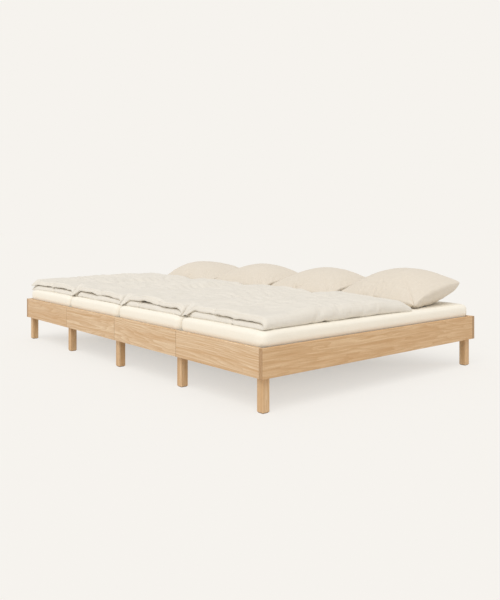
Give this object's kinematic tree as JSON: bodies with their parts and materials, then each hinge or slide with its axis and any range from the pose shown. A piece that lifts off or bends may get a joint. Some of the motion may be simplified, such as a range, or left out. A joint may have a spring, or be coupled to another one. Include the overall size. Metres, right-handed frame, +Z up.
{
  "type": "family bed",
  "caption": "Low, wide family bed: oak frame on square legs, slats, and side by side mattresses in fitted sheets, each with a folded duvet and a plump pillow.",
  "frame": {"origin": "on the floor, under the middle of the frame", "axes": "+X across the bed from left to right seen from the foot, +Y from the foot to the head, +Z up"},
  "size_m": [3.274, 2.074, 0.6994],
  "materials": {
    "oiled_oak": "matte",
    "planed_spruce": "matte",
    "cotton_webbing": "matte",
    "mattress_cover": "matte",
    "cotton_sheet": "matte",
    "duvet_cotton": "matte",
    "pillow_cotton": "matte",
    "wool_felt": "matte",
    "brass": "satin",
    "zinc_plated_steel": "satin"
  },
  "bodies": {
    "bed_frame": {"beam_hangers": "zinc_plated_steel", "centre_beam_1": "planed_spruce", "centre_beam_2": "planed_spruce", "centre_beam_3": "planed_spruce", "felt_glides": "wool_felt", "foot_board_1": "oiled_oak", "foot_board_2": "oiled_oak", "foot_board_3": "oiled_oak", "foot_board_4": "oiled_oak", "foot_leg_1": "oiled_oak", "foot_leg_2": "oiled_oak", "foot_leg_3": "oiled_oak", "foot_leg_4": "oiled_oak", "foot_leg_5": "oiled_oak", "frame_bolts": "zinc_plated_steel", "hanger_screws": "zinc_plated_steel", "head_board_1": "oiled_oak", "head_board_2": "oiled_oak", "head_board_3": "oiled_oak", "head_board_4": "oiled_oak", "head_leg_1": "oiled_oak", "head_leg_2": "oiled_oak", "head_leg_3": "oiled_oak", "head_leg_4": "oiled_oak", "head_leg_5": "oiled_oak", "ledger_screws": "zinc_plated_steel", "seam_plate_screws": "zinc_plated_steel", "seam_plates": "zinc_plated_steel", "side_rail_left": "oiled_oak", "side_rail_right": "oiled_oak", "slat_ledger_left": "planed_spruce", "slat_ledger_right": "planed_spruce", "slat_screws": "zinc_plated_steel", "slat_tapes_1": "cotton_webbing", "slat_tapes_2": "cotton_webbing", "slat_tapes_3": "cotton_webbing", "slat_tapes_4": "cotton_webbing", "slats_1": "planed_spruce", "slats_2": "planed_spruce", "slats_3": "planed_spruce", "slats_4": "planed_spruce", "threaded_inserts": "brass"},
    "place_1_mattress": {"mattress_1": "mattress_cover", "fitted_sheet_1": "cotton_sheet"},
    "place_1_duvet": {"duvet_1": "duvet_cotton"},
    "place_1_pillow": {"pillow_1": "pillow_cotton"},
    "place_2_mattress": {"mattress_2": "mattress_cover", "fitted_sheet_2": "cotton_sheet"},
    "place_2_duvet": {"duvet_2": "duvet_cotton"},
    "place_2_pillow": {"pillow_2": "pillow_cotton"},
    "place_3_mattress": {"mattress_3": "mattress_cover", "fitted_sheet_3": "cotton_sheet"},
    "place_3_duvet": {"duvet_3": "duvet_cotton"},
    "place_3_pillow": {"pillow_3": "pillow_cotton"},
    "place_4_mattress": {"mattress_4": "mattress_cover", "fitted_sheet_4": "cotton_sheet"},
    "place_4_duvet": {"duvet_4": "duvet_cotton"},
    "place_4_pillow": {"pillow_4": "pillow_cotton"}
  },
  "joints": [
    {"name": "mattress_1_lift", "type": "slide", "parent": "bed_frame", "child": "place_1_mattress", "axis": [0, 0, 1], "range_m": [0, 0.45]},
    {"name": "duvet_1_lift", "type": "slide", "parent": "place_1_mattress", "child": "place_1_duvet", "axis": [0, 0, 1], "range_m": [0, 0.3]},
    {"name": "pillow_1_lift", "type": "slide", "parent": "place_1_mattress", "child": "place_1_pillow", "axis": [0, 0, 1], "range_m": [0, 0.3]},
    {"name": "mattress_2_lift", "type": "slide", "parent": "bed_frame", "child": "place_2_mattress", "axis": [0, 0, 1], "range_m": [0, 0.45]},
    {"name": "duvet_2_lift", "type": "slide", "parent": "place_2_mattress", "child": "place_2_duvet", "axis": [0, 0, 1], "range_m": [0, 0.3]},
    {"name": "pillow_2_lift", "type": "slide", "parent": "place_2_mattress", "child": "place_2_pillow", "axis": [0, 0, 1], "range_m": [0, 0.3]},
    {"name": "mattress_3_lift", "type": "slide", "parent": "bed_frame", "child": "place_3_mattress", "axis": [0, 0, 1], "range_m": [0, 0.45]},
    {"name": "duvet_3_lift", "type": "slide", "parent": "place_3_mattress", "child": "place_3_duvet", "axis": [0, 0, 1], "range_m": [0, 0.3]},
    {"name": "pillow_3_lift", "type": "slide", "parent": "place_3_mattress", "child": "place_3_pillow", "axis": [0, 0, 1], "range_m": [0, 0.3]},
    {"name": "mattress_4_lift", "type": "slide", "parent": "bed_frame", "child": "place_4_mattress", "axis": [0, 0, 1], "range_m": [0, 0.45]},
    {"name": "duvet_4_lift", "type": "slide", "parent": "place_4_mattress", "child": "place_4_duvet", "axis": [0, 0, 1], "range_m": [0, 0.3]},
    {"name": "pillow_4_lift", "type": "slide", "parent": "place_4_mattress", "child": "place_4_pillow", "axis": [0, 0, 1], "range_m": [0, 0.3]}
  ]
}
